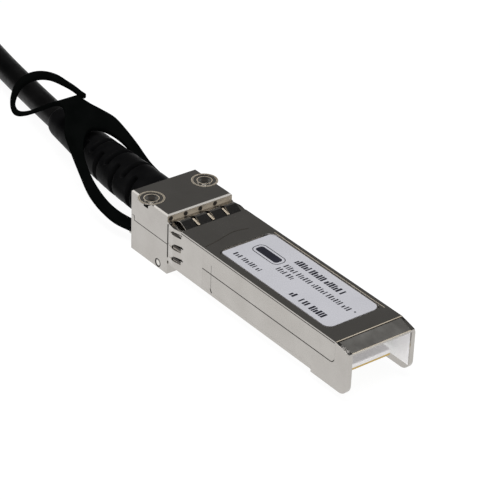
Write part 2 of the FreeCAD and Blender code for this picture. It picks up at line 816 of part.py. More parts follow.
def cable_coil():
    """The bundle of turns as one ring; the top row fills only the outer part of its width."""
    half, height = coil_size()
    foot = ((0, half - coil_edge), (coil_edge, half))
    up = V(0, 0, 1)
    outer = [ring_points(V(0, 0, z), up, coil_mean_radius + r, coil_sides)
             for z, r in foot + ((height - coil_edge, half), (height, half - coil_edge))]
    inner = [ring_points(V(0, 0, z), up, coil_mean_radius - r, coil_sides)
             for z, r in foot + ((height - coil_edge, half), (height, half - coil_edge))]
    hole = join([skin_over(inner), prism_z([(p.x, p.y) for p in inner[0]], -1, coil_edge / 2),
                 prism_z([(p.x, p.y) for p in inner[-1]], height - coil_edge / 2, height + 1)])
    ring = skin_over(outer).cut(hole)
    ring.translate(V(*coil_centre, 0))
    return ring


def coil_ties():
    """Two strips wrapped once round the turns, each flattened where the coil lies on it."""
    half, height = coil_size()
    wide = half + tie_sheet
    edge = coil_edge
    top = height + tie_sheet
    section = [(-wide, 0), (wide, 0), (wide, top - edge), (wide - edge, top), (edge - wide, top),
               (-wide, top - edge)]
    ties = []
    for angle in tie_angles:
        band = prism_y(section, -tie_width / 2, tie_width / 2)
        band.translate(V(coil_mean_radius, 0, 0))
        band.rotate(V(0, 0, 0), V(0, 0, 1), angle)
        band.translate(V(*coil_centre, 0))
        ties.append(band.cut(cable_coil()))
    return group(ties)


def save(name, shape):
    shape.exportStep(f"parts/{name}.step")


def main():
    os.makedirs("parts", exist_ok=True)
    near_place = FreeCAD.Placement(V(stop_x, 0, head_drop), FreeCAD.Rotation())
    far_turn = FreeCAD.Rotation(V(0, 0, 1), far_plug_turn)
    far_place = FreeCAD.Placement(V(*far_plug_place, head_drop), far_turn)
    pieces = plug_pieces()
    for prefix, place in (("", near_place), ("far_", far_place)):
        for name, shape in pieces.items():
            placed = shape.copy()
            placed.Placement = place.multiply(placed.Placement)
            save(prefix + name, placed)

    near = [near_place.multVec(V(*p)) for p in exit_route] + [V(*p) for p in near_route]
    far = [far_place.multVec(V(*p)) for p in exit_route] + [V(*p) for p in far_route]
    for name, route in (("cable_tube", near), ("far_cable_tube", far)):
        edges = rounded_route(route)
        print(name, "length", round(sum(e.Length for e in edges), 1))
        save(name, round_tube(edges, cord_radius))
    save("cable_coil", cable_coil())
    save("coil_ties", coil_ties())


main()
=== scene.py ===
"""Direct attach copper cable: the dressed model, its camera and its light.

Plug sizes are in millimetres in the plug's own frame: x = 0 is the face that stops on the cage,
+x runs to the nose, z = 0 is the underside of the body. Both plugs are made by the same calls.
"""
import json
import math

import bmesh
import bpy
import numpy as np
from mathutils import Matrix, Vector


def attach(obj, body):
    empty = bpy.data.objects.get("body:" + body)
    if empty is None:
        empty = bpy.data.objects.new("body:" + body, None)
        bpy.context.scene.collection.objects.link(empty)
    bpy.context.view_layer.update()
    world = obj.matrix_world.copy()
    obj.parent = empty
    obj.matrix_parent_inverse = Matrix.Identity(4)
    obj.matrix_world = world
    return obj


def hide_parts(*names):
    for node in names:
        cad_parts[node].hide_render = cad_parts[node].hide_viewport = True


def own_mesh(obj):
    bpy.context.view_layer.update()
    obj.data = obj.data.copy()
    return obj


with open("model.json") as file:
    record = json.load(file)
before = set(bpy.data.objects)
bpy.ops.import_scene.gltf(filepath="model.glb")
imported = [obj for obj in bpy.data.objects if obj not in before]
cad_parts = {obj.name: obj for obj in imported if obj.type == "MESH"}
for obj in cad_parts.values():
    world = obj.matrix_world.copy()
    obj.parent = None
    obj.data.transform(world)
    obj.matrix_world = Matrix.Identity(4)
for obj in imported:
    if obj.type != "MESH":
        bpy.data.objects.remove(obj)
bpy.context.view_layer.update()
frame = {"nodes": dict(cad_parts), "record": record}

MM = 0.001
STOP_X = 2.375
HEAD_DROP = 1.62
NEAR = Matrix.Translation((STOP_X * MM, 0, HEAD_DROP * MM))
FAR = Matrix.Translation((-0.051, -0.0564, HEAD_DROP * MM)) @ Matrix.Rotation(math.radians(2), 4, "Z")
PLUGS = {"": NEAR, "far_": FAR}


BODY_TOP = 8.5
HALF_WIDTH = 6.7


def put(place, point):
    """A point in millimetres of a plug's frame, in metres of the whole part's frame."""
    return place @ Vector([v * MM for v in point])


# ---------------------------------------------------------------- camera
CAMERA_PLACE = (258.1, -195.2, 193.9)
CAMERA_RIGHT = (0.6074, 0.7936, 0.0352)
CAMERA_AHEAD = (-0.6712, 0.5364, -0.5117)
CAMERA_LENS = 159.8


def add_camera():
    position = put(NEAR, CAMERA_PLACE)
    right = Vector(CAMERA_RIGHT).normalized()
    ahead = Vector(CAMERA_AHEAD).normalized()
    up = right.cross(ahead)
    data = bpy.data.cameras.new("camera")
    data.sensor_width = 36
    data.lens = CAMERA_LENS
    data.clip_start = 0.01
    data.clip_end = 20
    camera = bpy.data.objects.new("camera", data)
    turn = Matrix((right, up, -ahead)).transposed().to_4x4()
    camera.matrix_world = Matrix.Translation(position) @ turn
    bpy.context.scene.collection.objects.link(camera)
    bpy.context.scene.camera = camera


# ---------------------------------------------------------------- materials
class Shader:
    """A Principled material and short calls that add its nodes."""

    def __init__(self, name, **values):
        self.material = bpy.data.materials.new(name)
        self.material.use_nodes = True
        self.nodes = self.material.node_tree.nodes
        self.links = self.material.node_tree.links
        self.main = self.nodes["Principled BSDF"]
        for socket, value in values.items():
            self.main.inputs[socket.replace("_", " ")].default_value = value
        self.place = self.nodes.new("ShaderNodeTexCoord").outputs["Object"]

    def noise(self, per_mm, detail=3.0):
        node = self.nodes.new("ShaderNodeTexNoise")
        node.inputs["Scale"].default_value = per_mm * 1000
        node.inputs["Detail"].default_value = detail
        self.links.new(self.place, node.inputs["Vector"])
        return node.outputs["Fac"]

    def ramp(self, source, stops):
        node = self.nodes.new("ShaderNodeValToRGB")
        ramp = node.color_ramp
        while len(ramp.elements) < len(stops):
            ramp.elements.new(0.5)
        for element, (at, colour) in zip(ramp.elements, stops):
            element.position = at
            element.color = (*colour, 1)
        self.links.new(source, node.inputs["Fac"])
        return node.outputs["Color"]

    def spread(self, source, low, high):
        """A noise's middle range, stretched to run from low to high."""
        node = self.nodes.new("ShaderNodeMapRange")
        node.inputs["From Min"].default_value = 0.3
        node.inputs["From Max"].default_value = 0.7
        node.inputs["To Min"].default_value = low
        node.inputs["To Max"].default_value = high
        self.links.new(source, node.inputs["Value"])
        return node.outputs["Result"]

    def colour(self, source):
        self.links.new(source, self.main.inputs["Base Color"])

    def rough(self, source):
        self.links.new(source, self.main.inputs["Roughness"])

    def bump(self, source, height_mm, strength=1.0):
        node = self.nodes.new("ShaderNodeBump")
        node.inputs["Distance"].default_value = height_mm * MM
        node.inputs["Strength"].default_value = strength
        if self.main.inputs["Normal"].is_linked:
            self.links.new(self.main.inputs["Normal"].links[0].from_socket, node.inputs["Normal"])
        self.links.new(source, node.inputs["Height"])
        self.links.new(node.outputs["Normal"], self.main.inputs["Normal"])


def metal(name, dark, light, rough, grain=0.004, patch=0.25):
    """Bare metal: two tones in patches, a fine grain (mm high) and a faint wave."""
    shader = Shader(name, Metallic=1.0, Roughness=rough)
    wide = shader.noise(patch, 4)
    shader.colour(shader.ramp(wide, ((0.3, dark), (0.7, light))))
    fine = shader.noise(6.0, 4)
    shader.rough(shader.spread(fine, rough * 0.8, rough * 1.25))
    shader.bump(fine, grain, 0.5)
    shader.bump(shader.noise(0.9, 2), grain * 2, 0.25)
    return shader.material


def moulded(name, dark, light, rough, grain, per_mm, gloss=0.45):
    """Plastic, rubber, resin or ink: two tones and a grain of that height and count a millimetre."""
    shader = Shader(name, Roughness=rough)
    shader.main.inputs["Specular IOR Level"].default_value = gloss
    shader.colour(shader.ramp(shader.noise(0.3, 4), ((0.3, dark), (0.7, light))))
    fine = shader.noise(per_mm, 3)
    shader.rough(shader.spread(shader.noise(0.8, 3), rough * 0.85, rough * 1.2))
    shader.bump(fine, grain, 0.6)
    return shader.material


def jacket():
    shader = Shader("jacket", Roughness=0.42)
    shader.main.inputs["Specular IOR Level"].default_value = 0.09
    shader.colour(shader.ramp(shader.noise(0.2, 3), ((0.3, (0.003, 0.003, 0.003)),
                                                     (0.7, (0.005, 0.0048, 0.0048)))))
    shader.rough(shader.spread(shader.noise(0.7, 3), 0.36, 0.5))
    shader.bump(shader.noise(5.0, 2), 0.006, 0.4)
    return shader.material


def foil_label():
    shader = Shader("label_film", Roughness=0.38)
    shader.colour(shader.ramp(shader.noise(0.15, 2), ((0.3, (0.56, 0.56, 0.60)), (0.7, (0.59, 0.59, 0.63)))))
    shader.rough(shader.spread(shader.noise(2.0, 3), 0.34, 0.44))
    shader.bump(shader.noise(3.0, 2), 0.003, 0.3)
    return shader.material


def board():
    shader = Shader("board", Roughness=0.3)
    shader.colour(shader.ramp(shader.noise(0.8, 5), ((0.35, (0.02, 0.10, 0.05)), (0.65, (0.03, 0.15, 0.07)))))
    shader.bump(shader.noise(4.0, 3), 0.01, 0.4)
    return shader.material


def card_painted_reflection():
    """Pale glowing surface in the plug's mouth, a painted reflection.  It gives off a little light, in place
    of the pale floor that the bare metal there mirrors."""
    shader = Shader("card_painted_reflection", Roughness=0.5)
    shader.colour(shader.ramp(shader.noise(0.8, 3), ((0.3, (0.66, 0.65, 0.66)), (0.7, (0.72, 0.71, 0.70)))))
    shader.main.inputs["Emission Color"].default_value = (0.97, 0.95, 0.96, 1)
    shader.main.inputs["Emission Strength"].default_value = 0.3
    return shader.material


def woven():
    shader = Shader("hook_and_loop", Roughness=0.9)
    shader.main.inputs["Sheen Weight"].default_value = 0.5
    shader.colour(shader.ramp(shader.noise(2.5, 5), ((0.3, (0.008, 0.008, 0.009)),
                                                     (0.7, (0.03, 0.03, 0.032)))))
    shader.bump(shader.noise(4.0, 5), 0.12, 0.9)
    return shader.material


def make_materials():
    return {
        "nickel_shell": metal("nickel", (0.42, 0.40, 0.375), (0.46, 0.44, 0.415), 0.2),
        "spring_steel": metal("spring_sheet", (0.43, 0.41, 0.385), (0.47, 0.45, 0.425), 0.16, 0.002),
        "label_foil": foil_label(),
        "screw_steel": metal("screw", (0.55, 0.53, 0.50), (0.66, 0.64, 0.60), 0.18),
        "circuit_board": board(),
        "contact_gold": metal("gold", (0.75, 0.52, 0.16), (0.88, 0.65, 0.24), 0.2),
        "chip_black": moulded("chip", (0.012, 0.012, 0.012), (0.02, 0.02, 0.02), 0.6, 0.01, 6),
        "capacitor_ceramic": moulded("ceramic", (0.30, 0.20, 0.11), (0.36, 0.25, 0.14), 0.5, 0.01, 6),
        "pair_foil": metal("foil", (0.6, 0.6, 0.61), (0.75, 0.75, 0.76), 0.3, 0.02, 0.8),
        "shroud_resin": moulded("resin", (0.62, 0.60, 0.52), (0.7, 0.68, 0.6), 0.4, 0.02, 2),
        "ferrule_copper": metal("ferrule", (0.62, 0.36, 0.22), (0.72, 0.45, 0.3), 0.3),
        "boot_rubber": moulded("boot", (0.003, 0.003, 0.0033), (0.006, 0.006, 0.0063), 0.4, 0.012, 5, 0.02),
        "cord_jacket": jacket(),
        "latch_steel": metal("latch", (0.45, 0.44, 0.42), (0.55, 0.54, 0.51), 0.28),
        "tab_nylon": moulded("tab", (0.002, 0.0025, 0.0023), (0.0035, 0.004, 0.0038), 0.5, 0.01, 7, 0.0),
        "tie_hook_loop": woven(),
    }


# ---------------------------------------------------------------- piece helpers
def new_piece(name, mesh, slot, body, *nodes):
    piece = bpy.data.objects.new(name, mesh)
    bpy.context.scene.collection.objects.link(piece)
    finish_piece(piece, slot, body, *nodes)
    return piece


def finish_piece(piece, slot, body, *nodes):
    piece.data.materials.clear()
    piece.data.materials.append(MATERIALS[slot])
    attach(piece, body)
    if nodes:
        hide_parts(*nodes)


def mesh_of(name, points, faces, smooth=True):
    mesh = bpy.data.meshes.new(name)
    mesh.from_pydata([tuple(p) for p in points], [], faces)
    mesh.polygons.foreach_set("use_smooth", [smooth] * len(mesh.polygons))
    mesh.update()
    return mesh


def moved(mesh, place):
    """Takes a mesh in plug millimetres to the row frame."""
    mesh.transform(place @ Matrix.Scale(MM, 4))
    return mesh


def smooth_row(points, steps=8):
    """Points on a smooth curve through a row of chosen points."""
    p = np.array(points, float)
    ends = np.vstack([2 * p[0] - p[1], p, 2 * p[-1] - p[-2]])
    out = []
    for i in range(len(p) - 1):
        a, b, c, d = ends[i:i + 4]
        for t in np.arange(steps) / steps:
            out.append(0.5 * (2 * b + (c - a) * t + (2 * a - 5 * b + 4 * c - d) * t**2
                              + (3 * b - a - 3 * c + d) * t**3))
    return np.array(out + [p[-1]])


def lathe(profile, centre, sides=48):
    """Surface of revolution about an upright axis from (radius, z) pairs."""
    points = []
    for radius, z in profile:
        for i in range(sides):
            angle = 2 * math.pi * i / sides
            points.append((centre[0] + radius * math.cos(angle), centre[1] + radius * math.sin(angle), z))
    faces = []
    for row in range(len(profile) - 1):
        for i in range(sides):
            j = (i + 1) % sides
            faces.append((row * sides + i, row * sides + j, (row + 1) * sides + j, (row + 1) * sides + i))
    return points, faces


EDGE_WIDTH = 0.1
ROOF_START = 44.3
ROOF_FIRST = 44.6
ROOF_SLOPE = 0.25
ROOF_LOW = 7.6
ROOF_INSIDE = 8.06
ROOF_HALF = 5.99
ROOF_FRONT = 46.85
ROOF_TIP = (47.3, 7.72)
ROOF_TIP_BELOW = (47.35, 7.36)


def slope_nose(work, place):
    """Takes the nose's roof down to its front edge in one even slope."""
    inside = place.inverted()
    for v in work.verts:
        x, y, z = (inside @ v.co) / MM
        if x > ROOF_FIRST and z > ROOF_LOW:
            if abs(y) < ROOF_HALF and z < ROOF_INSIDE:
                x, z = ROOF_TIP_BELOW
            elif x > ROOF_FRONT:
                x, z = ROOF_TIP
            else:
                z = min(z, BODY_TOP - ROOF_SLOPE * (x - ROOF_START))
        v.co = place @ (Vector((x, y, z)) * MM)


def edged_copy(node, width_mm, place=None):
    """The CAD solid with its own small edge radii, which catch the light."""
    source = frame["nodes"][node]
    work = bmesh.new()
    work.from_mesh(source.data)
    bmesh.ops.remove_doubles(work, verts=work.verts, dist=1e-7)
    bmesh.ops.dissolve_limit(work, angle_limit=math.radians(0.5), verts=work.verts, edges=work.edges)
    if place:
        slope_nose(work, place)
    mesh = bpy.data.meshes.new(node + "_edged")
    work.to_mesh(mesh)
    work.free()
    piece = bpy.data.objects.new(node + "_edged", mesh)
    bpy.context.scene.collection.objects.link(piece)
    bevel = piece.modifiers.new("edge", "BEVEL")
    bevel.width = width_mm * MM
    bevel.segments = 2
    bevel.limit_method = "ANGLE"
    bevel.angle_limit = math.radians(28)
    bevel.harden_normals = True
    bevel.use_clamp_overlap = True
    bpy.context.view_layer.update()
    done = bpy.data.meshes.new_from_object(piece.evaluated_get(bpy.context.evaluated_depsgraph_get()))
    piece.modifiers.clear()
    piece.data = done
    finish_piece(piece, "nickel_shell", "cable", node)
    return piece


def turned(name, mesh_name, profile, centre, place, slot, *nodes):
    """A piece turned about an upright axis, with its sharp edges kept."""
    points, faces = lathe(profile, centre)
    mesh = moved(mesh_of(mesh_name, points, faces), place)
    mesh.set_sharp_from_angle(angle=math.radians(40))
    return new_piece(name, mesh, slot, "cable", *nodes)


# ---------------------------------------------------------------- cord
EXIT_ROUTE = ((-5.2, 0.0, 5.0), (-21.0, 0.0, 5.0), (-40.0, 1.9, 4.55), (-60.0, 5.2, 3.4))
NEAR_ROUTE = ((-82.0, 10.6, 2.9), (-101.5, 15.5, 2.4))
CORD_RADIUS = 2.4
COIL_CENTRE = (-121.0, -16.0)
COIL_MEAN = 28.0
COIL_PITCH = 4.85
COIL_COLUMNS = 4
COIL_ROWS = 7
COIL_TURNS = 27.5
TURN_POINTS = 16
CROSSING = 0.3


def coil_place(turn):
    """Column and row of a turn: in along the lowest row, then up one column and down the next."""
    turn = min(int(turn), int(COIL_TURNS))
    if turn < COIL_COLUMNS:
        return turn, 0
    back, step = divmod(turn - COIL_COLUMNS, COIL_ROWS - 1)
    return COIL_COLUMNS - 1 - back, step + 1 if back % 2 == 0 else COIL_ROWS - 1 - step


def coil_points():
    """The wound turns.  Each steps over to its next place in its last CROSSING share."""
    points = []
    spread = 1 / math.cos(math.pi / TURN_POINTS)
    for i in range(int(COIL_TURNS * TURN_POINTS) + 1):
        done = i / TURN_POINTS
        here = coil_place(done)
        after = coil_place(done + 1)
        share = min(max((done % 1 - 1 + CROSSING) / CROSSING, 0), 1)
        column, row = (a + (b - a) * share for a, b in zip(here, after))
        radius = (COIL_MEAN + ((COIL_COLUMNS - 1) / 2 - column) * COIL_PITCH) * spread
        angle = math.pi / 2 + 2 * math.pi * done
        points.append((COIL_CENTRE[0] + radius * math.cos(angle), COIL_CENTRE[1] + radius * math.sin(angle),
                       CORD_RADIUS + row * COIL_PITCH))
    return points


def add_cord():
    """The cord as a NURBS curve, and the row of points of its middle line."""
    route = [put(NEAR, p) for p in EXIT_ROUTE]
    route += [Vector(p) * MM for p in NEAR_ROUTE]
    route += [Vector(p) * MM for p in coil_points()]
    route += [put(FAR, p) for p in reversed(EXIT_ROUTE)]
    data = bpy.data.curves.new("cord", "CURVE")
    data.dimensions = "3D"
    spline = data.splines.new("NURBS")
    spline.points.add(len(route) - 1)
    for point, at in zip(spline.points, route):
        point.co = (*at, 1)
    spline.order_u = 3
    spline.use_endpoint_u = True
    spline.resolution_u = 6
    data.resolution_u = 6
    cord = bpy.data.objects.new("cord", data)
    bpy.context.scene.collection.objects.link(cord)
    bpy.context.view_layer.update()
    line = bpy.data.meshes.new_from_object(cord)
    points = np.array([v.co[:] for v in line.vertices])
    bpy.data.meshes.remove(line)
    data.bevel_depth = CORD_RADIUS * MM
    data.bevel_resolution = 5
    data.use_fill_caps = True
    finish_piece(cord, "cord_jacket", "cable", "cable_tube", "far_cable_tube", "cable_coil")
    return cord, points


def along(line, distances):
    """Points and headings at distances, in metres, along a row of points."""
    probe = 0.0006
    steps = np.linalg.norm(np.diff(line, axis=0), axis=1)
    reach = np.concatenate([[0], np.cumsum(steps)])
    at = np.stack([np.interp(distances, reach, line[:, k]) for k in range(3)], 1)
    ahead = np.stack([np.interp(distances + probe, reach, line[:, k]) for k in range(3)], 1)
    back = np.stack([np.interp(distances - probe, reach, line[:, k]) for k in range(3)], 1)
    heading = ahead - back
    return at, heading / np.linalg.norm(heading, axis=1)[:, None]


# ---------------------------------------------------------------- strain relief boot
BOOT_PROFILE = (  # distance along the sleeve, radius
    (-1.3, 3.1), (-0.02, 3.1), (0.0, 3.95), (0.15, 4.05), (6.0, 4.1), (13.0, 4.0), (19.0, 3.75),
    (25.0, 3.45), (31.0, 3.15), (35.6, 2.98), (36.3, 2.88), (36.7, 2.7), (36.8, 2.42))
BOOT_START = 5.3
BOOT_LENGTH = 36.8
SLOT_FIRST = 5.2
SLOT_PITCH = 2.75
SLOT_COUNT = 8
SLOT_WIDTH = 1.1
SLOT_FLOOR = 2.75
SIDE_SLOT_HALF_ANGLE = 58.0
TOP_SLOT_HALF_ANGLE = 56.0
SLOT_CORNER = 0.4
SLOT_EDGE = 0.2
BOOT_MEAN_RADIUS = 3.7
BOOT_SIDES = 120


def slot_depth(s, angle):
    """How far, from 0 to 1, each point of the sleeve lies in one of its slots."""
    depth = np.zeros_like(s)
    for i in range(SLOT_COUNT):
        on_side = i % 2 == 0
        half = math.radians(SIDE_SLOT_HALF_ANGLE if on_side else TOP_SLOT_HALF_ANGLE)
        for middle in (0, math.pi) if on_side else (math.pi / 2, -math.pi / 2):
            turn = np.abs((angle - middle + math.pi) % (2 * math.pi) - math.pi)
            across = np.abs(s - SLOT_FIRST - i * SLOT_PITCH) - SLOT_WIDTH / 2 + SLOT_CORNER
            around = (turn - half) * BOOT_MEAN_RADIUS + SLOT_CORNER
            outside = (np.hypot(np.maximum(across, 0), np.maximum(around, 0))
                       + np.minimum(np.maximum(across, around), 0))
            t = np.clip((SLOT_EDGE / 2 - (outside - SLOT_CORNER)) / SLOT_EDGE, 0, 1)
            depth = np.maximum(depth, t * t * (3 - 2 * t))
    return depth


def add_boot(prefix, line):
    """The slotted sleeve, swept along the cord's middle line.  Its rows are close at the slots."""
    rows = np.concatenate([[-1.3, -0.02, 0.0, 0.06, 0.15], np.arange(0.4, 4.4, 0.6),
                           np.arange(4.4, 25.4, 0.11), np.arange(25.6, 35.6, 0.5),
                           np.linspace(35.6, BOOT_LENGTH, 10)])
    sides = BOOT_SIDES
    s, angle = np.meshgrid(rows, np.linspace(0, 2 * math.pi, sides, endpoint=False), indexing="ij")
    profile = np.array(BOOT_PROFILE)
    radius = np.interp(s, profile[:, 0], profile[:, 1])
    radius = radius + (SLOT_FLOOR - radius) * slot_depth(s, angle)
    centre, heading = along(line, (rows + BOOT_START) * MM)
    across = np.cross(heading, (0, 0, 1))
    across /= np.linalg.norm(across, axis=1)[:, None]
    up = np.cross(across, heading)
    points = centre[:, None] + MM * radius[..., None] * (
        np.cos(angle)[..., None] * across[:, None] + np.sin(angle)[..., None] * up[:, None])
    faces = []
    for row in range(len(rows) - 1):
        for i in range(sides):
            j = (i + 1) % sides
            faces.append((row * sides + i, row * sides + j, (row + 1) * sides + j, (row + 1) * sides + i))
    mesh = mesh_of(prefix + "boot_sleeve", points.reshape(-1, 3), faces)
    return new_piece(prefix + "boot_sleeve", mesh, "boot_rubber", "cable", prefix + "strain_relief_boot")


# ---------------------------------------------------------------- pull tab
TAB_RISE = ((-52.6, 12.9), (-51.0, 11.4), (-49.3, 9.9), (-46.65, 8.95), (-44.0, 9.7), (-41.5, 11.5),
            (-39.6, 12.2), (-37.7, 12.1), (-35.0, 10.98), (-32.0, 9.45), (-28.0, 6.89), (-24.0, 4.15),
            (-20.0, 2.71), (-16.0, 1.95), (-10.5, 1.25))
TAB_OUTLINE = ((-10.9, 6.1), (-14.5, 7.4), (-18.2, 7.65), (-21.8, 7.5), (-25.0, 7.0), (-28.3, 6.5),
               (-31.0, 5.95), (-33.2, 5.3), (-35.2, 4.0), (-37.2, 2.65), (-39.2, 2.15), (-40.7, 2.5))
TAB_WINDOW = ((-10.9, 3.8), (-13.2, 4.3), (-16.2, 5.1), (-19.5, 5.35), (-24.0, 5.1), (-26.2, 4.85),
              (-28.2, 4.35), (-30.2, 3.3), (-31.8, 1.7), (-32.5, 0.0))
TAB_SHEET = 0.9
TAB_EDGE = 0.22
RING_CENTRE = -46.65
RING_LENGTH = 5.6
RING_WIDTH = 7.35
RING_STRAND = 0.95
TAB_STUD = (-11.7, 4.9, 0.62)
FOLD_ROWS = (-52.4, -10.9, 0.4)
RING_MOUTH = 31


def oval(length, width, first=0.0, last=360.0, steps=72):
    angles = np.radians(np.linspace(first, last, steps, endpoint=last - first < 360))
    return np.stack([RING_CENTRE + length * np.cos(angles), width * np.sin(angles)], 1)


def tab_loops():
    """The tab's outline with its window, the ring's hole and the two stud holes, as flat loops."""
    side = smooth_row(TAB_OUTLINE)
    window = smooth_row(TAB_WINDOW)
    mirror = np.array([1, -1])
    ring = oval(RING_LENGTH, RING_WIDTH, RING_MOUTH, 360 - RING_MOUTH)
    outer = np.vstack([side, ring, side[::-1] * mirror, window * mirror, window[-2::-1]])
    hole = oval(RING_LENGTH - RING_STRAND, RING_WIDTH - RING_STRAND)
    x, y, radius = TAB_STUD
    turn = np.radians(np.arange(0, 360, 15))
    stud = np.stack([x + radius * np.cos(turn), y + radius * np.sin(turn)], 1)
    return [outer, hole, stud, stud * mirror]


def add_tab(prefix, place):
    """The tab: a flat plan with round edges, cut across in rows and bent up along TAB_RISE."""
    data = bpy.data.curves.new("tab_plan", "CURVE")
    data.dimensions = "2D"
    data.fill_mode = "BOTH"
    data.extrude = TAB_SHEET / 2 - TAB_EDGE
    data.bevel_depth = TAB_EDGE
    data.bevel_resolution = 3
    data.offset = -TAB_EDGE
    for loop in tab_loops():
        spline = data.splines.new("POLY")
        spline.points.add(len(loop) - 1)
        for point, (x, y) in zip(spline.points, loop):
            point.co = (x, y, 0, 1)
        spline.use_cyclic_u = True
    plan = bpy.data.objects.new("tab_plan", data)
    bpy.context.scene.collection.objects.link(plan)
    bpy.context.view_layer.update()
    mesh = bpy.data.meshes.new_from_object(plan.evaluated_get(bpy.context.evaluated_depsgraph_get()))
    bpy.data.objects.remove(plan)
    work = bmesh.new()
    work.from_mesh(mesh)
    bmesh.ops.remove_doubles(work, verts=work.verts, dist=1e-4)
    for x in np.arange(*FOLD_ROWS):
        bmesh.ops.bisect_plane(work, geom=work.verts[:] + work.edges[:] + work.faces[:], dist=1e-5,
                               plane_co=(x, 0, 0), plane_no=(1, 0, 0))
    rise = smooth_row(TAB_RISE, 12)
    for vertex in work.verts:
        vertex.co.z += float(np.interp(vertex.co.x, rise[:, 0], rise[:, 1]))
    bmesh.ops.triangulate(work, faces=[f for f in work.faces if len(f.verts) > 4])
    work.to_mesh(mesh)
    work.free()
    mesh.polygons.foreach_set("use_smooth", [True] * len(mesh.polygons))
    mesh.set_sharp_from_angle(angle=math.radians(40))
    return new_piece(prefix + "tab_moulding", moved(mesh, place), "tab_nylon", prefix + "latch_slide_body",
                     prefix + "pull_tab")


# ---------------------------------------------------------------- label print
LABEL_TOP = 8.3
INK_TOP = LABEL_TOP + 0.02
PRINT = (  # first x, last x, middle y, height, share of ink
    (21.8, 33.9, 3.5, 1.35, 0.82),
    (21.8, 38.4, 1.15, 1.1, 0.55),
    (21.7, 25.8, -0.4, 1.05, 0.55),
    (14.0, 20.8, -3.2, 1.0, 0.6),
    (28.9, 30.6, -3.3, 1.2, 0.8),
    (31.3, 33.2, -3.3, 1.2, 0.8),
    (33.9, 37.6, -3.3, 1.35, 0.85),
)
STROKE_GAP = 0.1
WORD_GAP = 0.35
LOW_STROKE = 0.72
PILL = (14.75, 20.35, 0.2, 1.85, 0.55)
PILL_OUTER = (14.15, 20.95, -0.35, 2.4, 1.1)
PILL_INNER = (14.29, 20.81, -0.21, 2.26, 0.97)
DOT = (38.8, 39.15, 1.3, 1.65, 0.17)


def bar(points, faces, corners):
    base = len(points)
    points += [(x, y, INK_TOP) for x, y in corners]
    faces.append(tuple(range(base, base + len(corners))))


def print_marks():
    """Rows of small blocks that stand for lines of print, with no letter in them."""
    points, faces = [], []
    for line, (first, last, middle, height, weight) in enumerate(PRINT):
        x = first
        k = 0
        while x < last - 0.2:
            wide = min(0.38 + 0.2 * ((k * 7 + line * 3) % 5) / 4, last - x)
            tall = height * (1.0 if (k * 5 + line) % 4 else LOW_STROKE)
            low, high = middle - height / 2, middle - height / 2 + tall
            bar(points, faces, ((x, low), (x + wide * weight, low), (x + wide * weight, high), (x, high)))
            x += wide + STROKE_GAP
            k += 1
            if (k + line) % 6 == 0:
                x += WORD_GAP
    return points, faces


def rounded_bar(x0, x1, y0, y1, corner, steps=6):
    out = []
    for quarter, (cx, cy) in enumerate(((x1 - corner, y1 - corner), (x0 + corner, y1 - corner),
                                        (x0 + corner, y0 + corner), (x1 - corner, y0 + corner))):
        for i in range(steps + 1):
            a = math.pi / 2 * (quarter + i / steps)
            out.append((cx + corner * math.cos(a), cy + corner * math.sin(a)))
    return out


def add_print(prefix, place):
    """The marks, a filled pill with a thin outline round it, and a dot."""
    points, faces = print_marks()
    bar(points, faces, rounded_bar(*PILL))
    outer = rounded_bar(*PILL_OUTER)
    inner = rounded_bar(*PILL_INNER)
    base = len(points)
    points += [(x, y, INK_TOP) for x, y in outer + inner]
    n = len(outer)
    faces += [(base + i, base + (i + 1) % n, base + n + (i + 1) % n, base + n + i) for i in range(n)]
    bar(points, faces, rounded_bar(*DOT))
    mesh = moved(mesh_of(prefix + "label_marks", points, faces, False), place)
    piece = new_piece(prefix + "label_marks", mesh, "label_foil", "cable")
    piece.data.materials[0] = moulded("ink", (0.012, 0.012, 0.02), (0.02, 0.02, 0.032), 0.45, 0.002, 6)


# ---------------------------------------------------------------- fine lines of the plug
LABEL_OUTLINE = (12.5, 40.15, -4.95, 5.7)
LABEL_CORNERS = (0.5, 1.4)
LABEL_BOTTOM = 8.21
LABEL_CORNER_STEPS = 8
PROUD = 0.012
SIDE_LINES = (  # width, then x and z of its points
    (0.17, ((9.9, 4.5), (43.1, 4.5), (43.5, 4.57), (43.8, 4.8), (43.95, 5.1))),
    (0.14, ((0.3, 8.17), (12.0, 8.17), (43.9, 8.17))),
    (0.14, ((-9.7, 5.15), (-9.62, 4.25), (-0.05, 4.2))),
    # At x = 0.12: a painted shadow where the head meets the body.
    (0.30, ((0.12, 1.7), (0.12, 8.1))),
    (0.05, ((12.3, 1.9), (12.3, 6.2))),
    (0.26, ((12.2, 1.75), (12.32, 1.4), (12.6, 1.05))),
)
# Dark lens-shaped patches over the side slots: painted shade inside them.
SIDE_SLOT_SHADES = ((1.5, 3.9, 7.45), (2.0, 4.3, 5.15), (1.9, 4.3, 2.75))
PIN_MARK = (-2.63, -0.7, 0.8, 0.58)
LENS_HALF_HEIGHT = 0.24
LENS_STAND = 0.42
LENS_SLOPE = 0.1
GAPS = (-6.1, -3.05, 0.0, 3.05)
# Dark dots on the head's front face over the finger gaps: painted shade.
GAP_SHADE_DOT = (0.06, 9.0, 0.42)
# Cream quads in the finger gaps: painted highlight.
GAP_FLOOR_HIGHLIGHT = ((1.9, 8.9), (3.7, 8.53))
GAP_SIDES = (-0.05, 0.36)
BOW = ((10.0, -6.3), (9.8, -4.8), (9.5, -3.2), (9.05, -1.5), (8.75, -0.2), (8.68, 0.9), (8.85, 2.1),
       (9.2, 3.2))
TOP_LINES = ((0.16, ((44.4, -6.2), (44.4, 6.2))), (0.17, BOW))  # width, then x and y of its points
